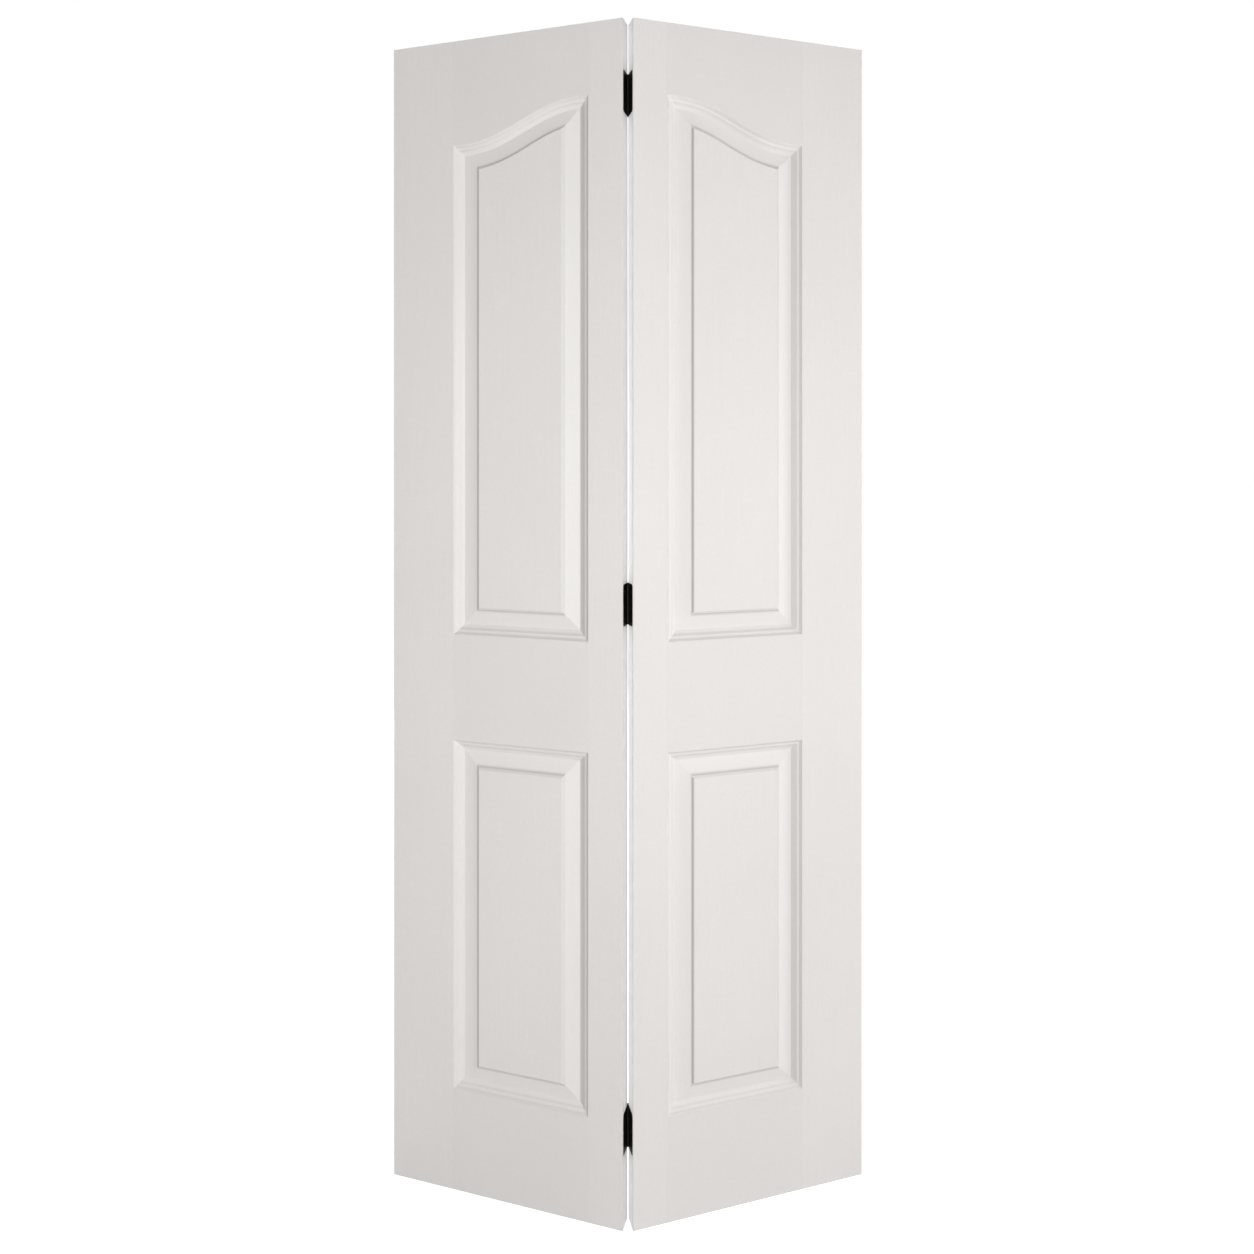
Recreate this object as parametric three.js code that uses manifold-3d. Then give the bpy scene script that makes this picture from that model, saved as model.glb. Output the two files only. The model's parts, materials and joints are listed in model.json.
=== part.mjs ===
// Two-leaf bifold closet door, standing part folded with its fold toward the room.
// Each leaf is a hollow-core panel door: two moulded hardboard skins glued over a wood
// frame, with folded cardboard strips between them. Three butt hinges join the leaves.
// Millimetres. +Z is up, +X to the right, and the room side faces -Y.
// The origin is the bottom centre of the whole door as it stands.

import * as THREE from 'three';
import { mergeVertices } from 'three/addons/utils/BufferGeometryUtils.js';
import Module from 'manifold-3d';

const wasm = await Module();
wasm.setup();

// Leaf
const leafHeight = 2007;
const leafWidth = 425.5;
const leafThickness = 28.6;
const foldAngle = THREE.MathUtils.degToRad(16); // each leaf's turn out of the wall's plane
const meetingGap = 1.2; // between the meeting edges of the closed door
const glueLine = 0.3;
const slipFit = 0.3;
const cutOverrun = 1; // how far a cutting shape runs past the surface that it opens

// Frame inside a leaf
const stileWidth = 32;
const railHeight = 32;
const lockBlockWidth = 90;
const lockBlockHeight = 150;
const boreRadius = 4.8; // for a pivot or guide pin
const boreDepth = 45;
const boreFromEdge = 19;

// Moulded skins
const skinThickness = 3.2;
const mouldingWidth = 48; // from the flat face in to the raised field
const mouldingDepth = 8.2;
const panelFromMeetingEdge = 60;
const panelFromOuterEdge = 117.5;
const lowerPanelFromBottom = 176;
const lowerPanelHeight = 610;
const lockRailHeight = 185; // flat face between the panels
const upperPanelFromTop = 121; // down to the crown of its arched top, beside the meeting edge
const archRise = 61; // from the arch's low shoulder up to its crown
const archSteps = 18;

// The moulding's section from the flat face to the field, each point an inset and a depth
const mouldingShares = [
  [0, 0],
  [0.025, 0.03],
  [0.06, 0.18],
  [0.1, 0.29],
  [0.155, 0.33],
  [0.19, 0.49],
  [0.235, 0.76],
  [0.285, 0.92],
  [0.35, 0.99],
  [0.42, 1],
  [0.67, 0.82],
  [0.9, 0.59],
  [0.945, 0.27],
  [1, 0.18],
];

// Cardboard core strips
const stripThickness = 1.6;
const stripRun = 75; // along the strip from one fold to the next

// Hinges
const hingeHeight = 70;
const bottomHingeFromBottom = 155; // to the hinge's middle
const middleHingeShare = 0.515; // of the leaf's height
const topHingeFromTop = 118;
const pinFromBackFace = 1;
const plateReach = 25.4; // from the pin to the plate's far edge
const plateThickness = 2.2;
const plateCornerRadius = 5;
const knuckleCount = 5;
const knuckleGap = 0.4;
const pinRadius = 1.3;
const pinChamfer = 0.4;

// Hinge screws
const screwLength = 19;
const screwShankRadius = 1.75;
const screwHeadRadius = 3.3;
const screwRimHeight = 0.3;
const screwHeadDepth = 2.4;
const screwTipLength = 4;
const screwFromPlateEdge = 7.5;
const screwStagger = 5.5; // the middle screw's step toward the pin
const screwSpread = 23; // from the hinge's middle up and down to its outer screws
const recessLength = 3.6;
const recessWidth = 0.9;
const recessDepth = 1.2;

const roundSegments = 12;
const screwSegments = 8;

// Planes of a leaf in its own axes: the pin is the origin, +X runs to the outer edge
const meetingEdge = meetingGap / 2;
const outerEdge = meetingEdge + leafWidth;
const backFace = -pinFromBackFace;
const frontFace = backFace - leafThickness;
const middlePlane = (backFace + frontFace) / 2;
const coreFront = frontFace + skinThickness + glueLine;
const coreBack = backFace - skinThickness - glueLine;
const fieldDepth = mouldingDepth * mouldingShares.at(-1)[1];
const hingeCentres = {
  bottom: bottomHingeFromBottom,
  middle: leafHeight * middleHingeShare,
  top: leafHeight - topHingeFromTop,
};

// Solids

// A closed mesh as a solid that can be cut or joined. Triangles that close up to a line are left out.
function toSolid(geometry) {
  const plain = geometry.clone();
  plain.deleteAttribute('normal');
  plain.deleteAttribute('uv');
  const merged = mergeVertices(plain);
  const corners = merged.index.array;
  const kept = [];
  for (let i = 0; i < corners.length; i += 3) {
    const [a, b, c] = corners.slice(i, i + 3);
    if (a !== b && b !== c && c !== a) kept.push(a, b, c);
  }
  return new wasm.Manifold(
    new wasm.Mesh({
      numProp: 3,
      vertProperties: new Float32Array(merged.attributes.position.array),
      triVerts: new Uint32Array(kept),
    }),
  );
}

function toGeometry(solid) {
  const mesh = solid.getMesh();
  const geometry = new THREE.BufferGeometry();
  geometry.setAttribute('position', new THREE.BufferAttribute(mesh.vertProperties, 3));
  geometry.setIndex(new THREE.BufferAttribute(mesh.triVerts, 1));
  return geometry;
}

function cut(blank, tools) {
  const cutSolid = tools.reduce((rest, tool) => rest.subtract(toSolid(tool)), toSolid(blank));
  return toGeometry(cutSolid);
}

function join(pieces) {
  const [first, ...others] = pieces.map(toSolid);
  return toGeometry(others.reduce((sum, other) => sum.add(other), first));
}

function boxBetween(low, high) {
  const lowCorner = new THREE.Vector3(...low);
  const highCorner = new THREE.Vector3(...high);
  const size = highCorner.clone().sub(lowCorner);
  const middle = lowCorner.add(highCorner).multiplyScalar(0.5);
  return new THREE.BoxGeometry(size.x, size.y, size.z).translate(middle.x, middle.y, middle.z);
}

function uprightCylinder(radius, x, y, bottom, top) {
  const cylinder = new THREE.CylinderGeometry(radius, radius, top - bottom, roundSegments);
  return cylinder.rotateX(Math.PI / 2).translate(x, y, (bottom + top) / 2);
}

// A round piece turned from a profile of [radius, distance along its axis] points
function turned(profile, segments) {
  const points = profile.map(([radius, along]) => new THREE.Vector2(radius, along));
  return new THREE.LatheGeometry(points, segments);
}

// The same piece for the other leaf: seen in a mirror, with its faces turned the right way again
function mirrored(geometry) {
  const copy = geometry.index ? geometry.clone() : mergeVertices(geometry);
  copy.scale(-1, 1, 1);
  const corners = copy.index.array;
  for (let i = 0; i < corners.length; i += 3) {
    [corners[i], corners[i + 1]] = [corners[i + 1], corners[i]];
  }
  return copy;
}

// Moulded skins

// Each panel's shoulder is where its sides end: an arched top rises from there
const lowerPanel = {
  bottom: lowerPanelFromBottom,
  shoulder: lowerPanelFromBottom + lowerPanelHeight,
  rise: 0,
  steps: 1,
};
const upperPanel = {
  bottom: lowerPanel.shoulder + lockRailHeight,
  shoulder: leafHeight - upperPanelFromTop - archRise,
  rise: archRise,
  steps: archSteps,
};
const panels = [lowerPanel, upperPanel];
const panelNear = meetingEdge + panelFromMeetingEdge;
const panelFar = outerEdge - panelFromOuterEdge;
const panelWidth = panelFar - panelNear;

// A panel's outline, drawn in from its edge by an inset, counter-clockwise seen from the room.
// The arched top is an S-curve, level at both ends: its height falls from the crown to the
// shoulder as the smooth step 10t^3 - 15t^4 + 6t^5. The inset is measured square to the curve.
function panelOutline(panel, inset) {
  const near = panelNear + inset;
  const far = panelFar - inset;
  const outline = [
    [near, panel.bottom + inset],
    [far, panel.bottom + inset],
  ];
  for (let step = 0; step <= panel.steps; step += 1) {
    const x = far + ((near - far) * step) / panel.steps;
    const t = (panelFar - x) / panelWidth;
    const height = panel.shoulder + panel.rise * t ** 3 * (10 - 15 * t + 6 * t * t);
    const slope = (panel.rise / panelWidth) * 30 * t * t * (1 - t) ** 2;
    outline.push([x, height - inset * Math.hypot(1, slope)]);
  }
  return outline;
}

function counterClockwise(points, triangle) {
  const [a, b, c] = triangle.map((corner) => points[corner]);
  const twiceArea = (b[0] - a[0]) * (c[1] - a[1]) - (b[1] - a[1]) * (c[0] - a[0]);
  return twiceArea > 0 ? triangle : [...triangle].reverse();
}

// Triangles that fill a flat outline with holes, all counter-clockwise. Corners are counted on
// through the outline and its holes.
function fillFlat(outline, holes) {
  const toVectors = (loop) => loop.map(([x, z]) => new THREE.Vector2(x, z));
  const triangles = THREE.ShapeUtils.triangulateShape(toVectors(outline), holes.map(toVectors));
  const points = [outline, ...holes].flat();
  return triangles.map((triangle) => counterClockwise(points, triangle));
}

// One pressed sheet. Its outer surface lies at facePlane and sinks by the moulding's depth
// along inward (+1 on the front, -1 on the back); its inner surface follows a skin's thickness in.
function mouldedSkin(facePlane, inward) {
  const edge = [
    [meetingEdge, 0],
    [outerEdge, 0],
    [outerEdge, leafHeight],
    [meetingEdge, leafHeight],
  ];
  const rings = panels.map((panel) =>
    mouldingShares.map(([insetShare, depthShare]) => ({
      outline: panelOutline(panel, insetShare * mouldingWidth),
      depth: depthShare * mouldingDepth,
    })),
  );

  const surface = edge.map(([x, z]) => [x, 0, z]);
  const ringStarts = rings.map(() => []);
  for (const level of mouldingShares.keys()) {
    rings.forEach((panelRings, panelIndex) => {
      const { outline, depth } = panelRings[level];
      ringStarts[panelIndex].push(surface.length);
      surface.push(...outline.map(([x, z]) => [x, depth, z]));
    });
  }

  const triangles = fillFlat(edge, rings.map((panelRings) => panelRings[0].outline));
  rings.forEach((panelRings, panelIndex) => {
    const starts = ringStarts[panelIndex];
    const count = panelRings[0].outline.length;
    for (let level = 0; level + 1 < starts.length; level += 1) {
      for (let i = 0; i < count; i += 1) {
        const next = (i + 1) % count;
        const [a, b] = [starts[level] + i, starts[level] + next];
        const [d, c] = [starts[level + 1] + i, starts[level + 1] + next];
        triangles.push([a, b, c], [a, c, d]);
      }
    }
    const field = fillFlat(panelRings.at(-1).outline, []);
    triangles.push(...field.map((triangle) => triangle.map((corner) => corner + starts.at(-1))));
  });

  const innerStart = surface.length;
  const innerTriangles = triangles.map(([a, b, c]) => [c + innerStart, b + innerStart, a + innerStart]);
  const edgeTriangles = edge.flatMap((_, i) => {
    const next = (i + 1) % edge.length;
    return [
      [i, i + innerStart, next + innerStart],
      [i, next + innerStart, next],
    ];
  });

  const toPoint = (thickness) => ([x, depth, z]) => [x, facePlane + inward * (depth + thickness), z];
  const points = [...surface.map(toPoint(0)), ...surface.map(toPoint(skinThickness))];
  const faces = [...triangles, ...innerTriangles, ...edgeTriangles];
  const geometry = new THREE.BufferGeometry();
  geometry.setAttribute('position', new THREE.BufferAttribute(new Float32Array(points.flat()), 3));
  geometry.setIndex((inward > 0 ? faces : faces.map((face) => [...face].reverse())).flat());
  return geometry;
}

// Hinges

const screwPlaces = [-1, 0, 1].map((row) => ({
  y: -plateReach + screwFromPlateEdge + (row === 0 ? screwStagger : 0),
  z: row * screwSpread,
}));

// Turns a shape drawn in Y and Z, with its thickness along Z, to stand square to X
const acrossX = new THREE.Matrix4().makeBasis(
  new THREE.Vector3(0, 1, 0),
  new THREE.Vector3(0, 0, 1),
  new THREE.Vector3(1, 0, 0),
);

// The plate's blank, about the hinge's middle: round corners at its far edge, and grown all
// round by a clearance when it is the tool that lets the plate into the leaf's edge
function plateBlank(grow, nearY, fromX, toX) {
  const farY = -plateReach - grow;
  const halfHeight = hingeHeight / 2 + grow;
  const radius = plateCornerRadius + grow;
  const shape = new THREE.Shape();
  shape.moveTo(nearY, -halfHeight);
  shape.lineTo(nearY, halfHeight);
  shape.lineTo(farY + radius, halfHeight);
  shape.absarc(farY + radius, halfHeight - radius, radius, Math.PI / 2, Math.PI);
  shape.lineTo(farY, radius - halfHeight);
  shape.absarc(farY + radius, radius - halfHeight, radius, Math.PI, (Math.PI * 3) / 2);
  const blank = new THREE.ExtrudeGeometry(shape, {
    depth: toX - fromX,
    bevelEnabled: false,
    curveSegments: roundSegments / 4,
  });
  return blank.applyMatrix4(acrossX).translate(fromX, 0, 0);
}

// A countersunk screw's blank along +X from its head, grown by a clearance for the holes it goes in
function screwBlank(grow, proud) {
  const profile = [
    [0, -proud],
    [screwHeadRadius + grow, -proud],
    [screwHeadRadius + grow, screwRimHeight],
    [screwShankRadius + grow, screwHeadDepth],
    [screwShankRadius + grow, screwLength - screwTipLength],
    [0, screwLength + grow],
  ];
  const blank = turned(profile, screwSegments);
  return blank.rotateZ(-Math.PI / 2).translate(meetingEdge, 0, 0);
}

function screwHoles(hingeCentre) {
  return screwPlaces.map(({ y, z }) => screwBlank(slipFit, cutOverrun).translate(0, y, hingeCentre + z));
}

// Shallow pockets in the meeting edge that the plates lie in
function plateGains() {
  const floor = meetingEdge + plateThickness + glueLine;
  return Object.values(hingeCentres).map((centre) =>
    plateBlank(slipFit, backFace + cutOverrun, meetingEdge - cutOverrun, floor).translate(0, 0, centre),
  );
}

// A plate with every second knuckle, starting at the bottom one or at the one above it. Between
// its own knuckles its edge is scooped out round those of the other plate.
function hingePlate(firstKnuckle, hingeCentre) {
  const pitch = hingeHeight / knuckleCount;
  const knuckleRadius = meetingEdge + plateThickness;
  const armFrom = -knuckleRadius - plateThickness;
  const pieces = [];
  const scoops = [];
  for (let knuckle = 0; knuckle < knuckleCount; knuckle += 1) {
    const isOwn = knuckle % 2 === firstKnuckle;
    const inset = isOwn ? knuckleGap / 2 : -knuckleGap / 2;
    const bottom = knuckle * pitch - hingeHeight / 2 + (knuckle > 0 ? inset : 0);
    const top = (knuckle + 1) * pitch - hingeHeight / 2 - (knuckle + 1 < knuckleCount ? inset : 0);
    if (isOwn) {
      pieces.push(uprightCylinder(knuckleRadius, 0, 0, bottom, top));
      pieces.push(boxBetween([meetingEdge, armFrom, bottom], [knuckleRadius, 0, top]));
    } else {
      scoops.push(uprightCylinder(knuckleRadius + slipFit, 0, 0, bottom, top));
    }
  }
  const plate = cut(plateBlank(0, backFace, meetingEdge, knuckleRadius), scoops);
  const pinHole = uprightCylinder(pinRadius + slipFit, 0, 0, -hingeHeight, hingeHeight);
  return cut(join([plate, ...pieces]), [pinHole, ...screwHoles(0)]).translate(0, 0, hingeCentre);
}

// A fast pin, as long as the barrel and flush with its ends
function hingePin(hingeCentre) {
  const end = hingeHeight / 2;
  const profile = [
    [0, -end],
    [pinRadius - pinChamfer, -end],
    [pinRadius, pinChamfer - end],
    [pinRadius, end - pinChamfer],
    [pinRadius - pinChamfer, end],
    [0, end],
  ];
  return turned(profile, roundSegments).rotateX(Math.PI / 2).translate(0, 0, hingeCentre);
}

// A screw seated in its plate, with a cross recess in its head
function hingeScrew({ y, z }, hingeCentre) {
  const recessFrom = meetingEdge - cutOverrun;
  const recessTo = meetingEdge + recessDepth;
  const halfLong = recessLength / 2;
  const halfWide = recessWidth / 2;
  const slots = [
    boxBetween([recessFrom, -halfLong, -halfWide], [recessTo, halfLong, halfWide]),
    boxBetween([recessFrom, -halfWide, -halfLong], [recessTo, halfWide, halfLong]),
  ];
  return cut(screwBlank(0, 0), slots).translate(0, y, hingeCentre + z);
}

// Frame inside a leaf

const innerNear = meetingEdge + stileWidth + glueLine;
const innerFar = outerEdge - stileWidth - glueLine;
const boreX = outerEdge - boreFromEdge;

function hingeStile() {
  const blank = boxBetween([meetingEdge, coreFront, 0], [meetingEdge + stileWidth, coreBack, leafHeight]);
  return cut(blank, [...plateGains(), ...Object.values(hingeCentres).flatMap(screwHoles)]);
}

function outerStile() {
  const blank = boxBetween([outerEdge - stileWidth, coreFront, 0], [outerEdge, coreBack, leafHeight]);
  const bottomBore = uprightCylinder(boreRadius, boreX, middlePlane, -cutOverrun, boreDepth);
  const topBore = uprightCylinder(
    boreRadius,
    boreX,
    middlePlane,
    leafHeight - boreDepth,
    leafHeight + cutOverrun,
  );
  return cut(blank, [bottomBore, topBore]);
}

function rail(bottom) {
  return boxBetween([innerNear, coreFront, bottom], [innerFar, coreBack, bottom + railHeight]);
}

const lockRailMiddle = lowerPanel.shoulder + lockRailHeight / 2;
const lockBlockFar = innerNear + lockBlockWidth;

function lockBlock() {
  return boxBetween(
    [innerNear, coreFront, lockRailMiddle - lockBlockHeight / 2],
    [lockBlockFar, coreBack, lockRailMiddle + lockBlockHeight / 2],
  );
}

// Cardboard core strips

// A strip folded to and fro across a zone, along X or, if upright, along Z. Its fold lines run
// from skin to skin, and the shift of its two edges gives the strip its thickness across.
function coreStrip({ near, far, bottom, top, front, back, upright }) {
  const [start, end, low, high] = upright ? [bottom, top, near, far] : [near, far, bottom, top];
  const folds = Math.max(2, Math.round((end - start) / stripRun));
  const run = (end - start) / folds;
  const shift = ((stripThickness / 2) * Math.hypot(run, high - low)) / run;
  const line = [...Array(folds + 1).keys()].map((fold) => [
    start + run * fold,
    fold % 2 === 0 ? low + shift : high - shift,
  ]);
  const outline = [
    ...line.map(([along, across]) => [along, across - shift]),
    ...line.map(([along, across]) => [along, across + shift]).reverse(),
  ];
  const points = outline.map(([along, across]) => (upright ? [across, along] : [along, across]));
  const shape = new THREE.Shape(points.map(([x, z]) => new THREE.Vector2(x, z)));
  const strip = new THREE.ExtrudeGeometry(shape, { depth: back - front, bevelEnabled: false });
  return strip.rotateX(Math.PI / 2).translate(0, back, 0);
}

const fullDepth = { front: coreFront, back: coreBack };
const fieldCore = { front: coreFront + fieldDepth, back: coreBack - fieldDepth };
const fieldNear = panelNear + mouldingWidth + glueLine;
const fieldFar = panelFar - mouldingWidth - glueLine;

function fieldZone(panel) {
  return {
    near: fieldNear,
    far: fieldFar,
    bottom: panel.bottom + mouldingWidth + glueLine,
    top: panel.shoulder - mouldingWidth - glueLine,
    upright: true,
    ...fieldCore,
  };
}

const stripZones = {
  bottom: {
    near: innerNear,
    far: innerFar,
    bottom: railHeight + glueLine,
    top: lowerPanel.bottom - glueLine,
    ...fullDepth,
  },
  lower: fieldZone(lowerPanel),
  middle: {
    near: lockBlockFar + glueLine,
    far: innerFar,
    bottom: lowerPanel.shoulder + glueLine,
    top: upperPanel.bottom - glueLine,
    ...fullDepth,
  },
  upper: fieldZone(upperPanel),
  top: {
    near: innerNear,
    far: innerFar,
    bottom: upperPanel.shoulder + upperPanel.rise + glueLine,
    top: leafHeight - railHeight - glueLine,
    ...fullDepth,
  },
};

// Materials

const finish = (color, roughness, metalness = 0) => ({ color, roughness, metalness, flatShading: true });
const primedSkin = finish(0xe9e5e1, 0.55);
const pine = finish(0xd8b685, 0.7);
const cardboard = finish(0xb4926a, 0.9);
const blackSteel = finish(0x15110f, 0.4, 0.6);

// Assembly

// The door's front-most line is the fold's front edge and its rear-most the leaves' outer edges
const frontMost = meetingEdge * Math.sin(foldAngle) + frontFace * Math.cos(foldAngle);
const rearMost = outerEdge * Math.sin(foldAngle) + backFace * Math.cos(foldAngle);
const pinY = -(frontMost + rearMost) / 2;

const door = new THREE.Group();

function piece(name, geometry, material) {
  const mesh = new THREE.Mesh(geometry, new THREE.MeshStandardMaterial(material));
  mesh.name = name;
  return mesh;
}

function makeLeaf(side, turn, firstKnuckle) {
  const leaf = new THREE.Group();
  const place = turn > 0 ? (geometry) => geometry : mirrored;
  const add = (name, geometry, material) => leaf.add(piece(name, place(geometry), material));

  add(`${side}_front_skin`, mouldedSkin(frontFace, 1), primedSkin);
  add(`${side}_back_skin`, cut(mouldedSkin(backFace, -1), plateGains()), primedSkin);
  add(`${side}_hinge_stile`, hingeStile(), pine);
  add(`${side}_outer_stile`, outerStile(), pine);
  add(`${side}_bottom_rail`, rail(0), pine);
  add(`${side}_top_rail`, rail(leafHeight - railHeight), pine);
  add(`${side}_lock_block`, lockBlock(), pine);
  for (const [zoneName, zone] of Object.entries(stripZones)) {
    add(`${side}_${zoneName}_core_strip`, coreStrip(zone), cardboard);
  }
  for (const [hingeName, centre] of Object.entries(hingeCentres)) {
    add(`${hingeName}_hinge_${side}_plate`, hingePlate(firstKnuckle, centre), blackSteel);
    screwPlaces.forEach((screwPlace, i) => {
      add(`${hingeName}_hinge_${side}_screw_${i + 1}`, hingeScrew(screwPlace, centre), blackSteel);
    });
  }

  leaf.position.y = pinY;
  leaf.rotation.z = turn * foldAngle;
  return leaf;
}

door.add(makeLeaf('left', -1, 0), makeLeaf('right', 1, 1));
for (const [hingeName, centre] of Object.entries(hingeCentres)) {
  const pin = piece(`${hingeName}_hinge_pin`, hingePin(centre), blackSteel);
  pin.position.y = pinY;
  door.add(pin);
}

export default door;
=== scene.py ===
import json
import math

import bpy
import numpy as np
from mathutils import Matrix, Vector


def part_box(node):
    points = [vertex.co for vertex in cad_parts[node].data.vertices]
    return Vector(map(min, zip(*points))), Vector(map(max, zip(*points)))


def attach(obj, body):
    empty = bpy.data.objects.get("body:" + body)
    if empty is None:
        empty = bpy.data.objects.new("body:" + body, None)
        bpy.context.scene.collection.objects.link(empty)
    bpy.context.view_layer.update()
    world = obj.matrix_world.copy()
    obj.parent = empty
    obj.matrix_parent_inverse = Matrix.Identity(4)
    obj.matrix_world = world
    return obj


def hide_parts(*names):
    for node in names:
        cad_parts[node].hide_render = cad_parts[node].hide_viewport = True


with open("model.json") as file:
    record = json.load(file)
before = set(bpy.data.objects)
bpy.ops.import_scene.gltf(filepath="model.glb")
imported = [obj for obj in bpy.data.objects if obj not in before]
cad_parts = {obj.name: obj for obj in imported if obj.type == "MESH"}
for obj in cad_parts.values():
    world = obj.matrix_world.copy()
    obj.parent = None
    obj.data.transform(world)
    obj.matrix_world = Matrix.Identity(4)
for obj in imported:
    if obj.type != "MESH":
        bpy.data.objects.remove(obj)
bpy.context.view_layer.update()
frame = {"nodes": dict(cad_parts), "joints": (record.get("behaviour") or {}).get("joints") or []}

# Moulded sheets
# Each leaf has two thin hardboard skins, pressed in a hot die so that both panels, their mouldings
# and a fine wood grain are one sheet, then sprayed with white primer. They are glued to the frame.

fold = frame["joints"][0]
pin_y = fold["pos_m"][1]
fold_angle = math.radians(-fold["range_deg"][0] / 2)
turn_cos, turn_sin = math.cos(fold_angle), math.sin(fold_angle)
box_decimals = 6


def leaf_box(node):
    """Lowest and highest (u, v, z) of a node of the right leaf, in the leaf's own axes: its points
    turned back about the pins, u = x cos a + (y - pin) sin a and v = (y - pin) cos a - x sin a."""
    mesh = frame["nodes"][node].data
    flat = np.empty(3 * len(mesh.vertices), np.float32)
    mesh.vertices.foreach_get("co", flat)
    x, y, z = flat.astype(float).reshape(-1, 3).T
    u = x * turn_cos + (y - pin_y) * turn_sin
    v = (y - pin_y) * turn_cos - x * turn_sin
    return np.round([(u.min(), v.min(), z.min()), (u.max(), v.max(), z.max())], box_decimals)


(meeting_edge, core_front, _), (_, _, leaf_height) = leaf_box("right_hinge_stile")
outer_edge = leaf_box("right_outer_stile")[1][0]
front_face = leaf_box("right_front_skin")[0][1]
back_face = leaf_box("right_back_skin")[1][1]
hinge_names = ("bottom", "middle", "top")
hinge_boxes = [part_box(f"{name}_hinge_pin") for name in hinge_names]
hinge_centres = np.array([(low.z + high.z) / 2 for low, high in hinge_boxes])
hinge_height = hinge_boxes[0][1].z - hinge_boxes[0][0].z
leaf_sides = {"left": -1, "right": 1}

shadow_gap = 0.00005
sheet_thickness = core_front - front_face - shadow_gap
near_margin, far_margin, top_margin = 0.060, 0.1175, 0.121
lower_panel_bottom, lower_panel_height = 0.176, 0.610
lock_rail_height = 0.185
arch_rise = 0.061
panel_near = meeting_edge + near_margin
panel_far = outer_edge - far_margin
panel_middle = (panel_near + panel_far) / 2
lower_panel_top = lower_panel_bottom + lower_panel_height
upper_panel_bottom = lower_panel_top + lock_rail_height
upper_panel_shoulder = leaf_height - top_margin - arch_rise

# The moulding's section, from the flat face in to the field
quirk_width, quirk_depth = 0.0048, 0.0042
fillet_width, fillet_depth = 0.0030, 0.0050
cove_width, valley_depth = 0.0094, 0.0098
slope_width, slope_end_depth = 0.0256, 0.0048
step_width, field_depth = 0.0052, 0.0005
quirk_bend_shares = (0.72, 0.94)
cove_bend_shares = (0.48, 0.66)
slope_bow_share = 0.15
slope_samples = 8
pressed_radius = 0.00030
radius_samples = 9
joint_depth, joint_reach = 0.00025, 0.000075
arris_radius = 0.0006
arris_samples = 5

# The gains that the hinge plates lie in, along the meeting edge
gain_depth = 0.0025
gain_clearance = 0.0003
gain_taper = 0.008
gain_end_step = 0.0001

# How close together the sheet's rows and columns lie
flat_margin = 0.0012
corner_spread_shares = np.array([-1.3, -0.5, 0, 0.5, 1.3])
quirk_samples, cove_samples, slope_rows = 4, 10, 7
inset_decimals = 6
field_columns = 52
lower_rungs, upper_rungs = 12, 16
mitre_tolerance = 1e-7

# Above a panel's bottom, where its lower corners part from its upper ones, and above the lower
# panel's top, where the rows part between the two panels
corner_split, rail_split = 0.3, 0.05


def section_corners():
    """Insets of the section's corners: each member's width added to those before it."""
    return np.cumsum([0, quirk_width, fillet_width, cove_width, slope_width, step_width])


def moulding_depth(inset):
    """Depth below the flat face: straight lines from corner to corner, with a bend in the quirk and
    in the cove, and a slope that rises as (1 - b) t + b t^2 with a bow b. The whole section is
    averaged over the pressed radius on each side, which rounds its corners."""
    face, quirk, fillet, valley, slope_end, step_end = section_corners()
    climb = np.linspace(0, 1, slope_samples)
    rise = (1 - slope_bow_share) * climb + slope_bow_share * climb**2
    insets = [
        [face, quirk_bend_shares[0] * quirk_width, quirk, fillet],
        [fillet + cove_bend_shares[0] * cove_width],
        valley + slope_width * climb,
        [step_end],
    ]
    depths = [
        [0, quirk_bend_shares[1] * quirk_depth, quirk_depth, fillet_depth],
        [fillet_depth + cove_bend_shares[1] * (valley_depth - fillet_depth)],
        valley_depth - (valley_depth - slope_end_depth) * rise,
        [field_depth],
    ]
    spread = np.linspace(-pressed_radius, pressed_radius, radius_samples)
    around = np.asarray(inset)[..., None] + spread
    return np.interp(around, np.concatenate(insets), np.concatenate(depths)).mean(axis=-1)


def gain_ends():
    """Heights at which the gains for the hinge plates start and end, as pairs a hair apart."""
    ends = hinge_centres[:, None] + (hinge_height / 2 + gain_clearance) * np.array([-1, 1])
    return (ends.ravel()[:, None] + gain_end_step * np.array([-1, 1])).ravel()


def moulding_insets():
    """Insets at which the section is drawn: close together at its corners and along its cove, a
    flat margin at each end, and one wherever a gain ends beside a panel's moulding."""
    corners = section_corners()
    rounded = (corners[:, None] + pressed_radius * corner_spread_shares).ravel()
    quirk, fillet, valley, slope_end, step_end = corners[1:]
    between = [
        [-flat_margin, step_end + flat_margin],
        np.linspace(0, quirk, quirk_samples)[1:-1],
        np.linspace(fillet, valley, cove_samples)[1:-1],
        np.linspace(valley, slope_end, slope_rows)[1:-1],
        [(slope_end + step_end) / 2],
    ]
    ends = gain_ends()
    from_bottom = [ends - lower_panel_bottom, ends - upper_panel_bottom]
    from_crown = [lower_panel_top - ends, upper_panel_shoulder + arch_rise - ends]
    beside = np.concatenate(from_bottom + from_crown)
    beside = beside[(beside > 0) & (beside < step_end)]
    return np.unique(np.concatenate([rounded, *between, beside]).round(inset_decimals))


def arris_places():
    """Distances from a sheet's edge across its rounded arris, r (1 - cos f), and a flat margin."""
    turn = np.linspace(0, math.pi / 2, arris_samples)
    return np.append(arris_radius * (1 - np.cos(turn)), arris_radius + flat_margin)


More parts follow.
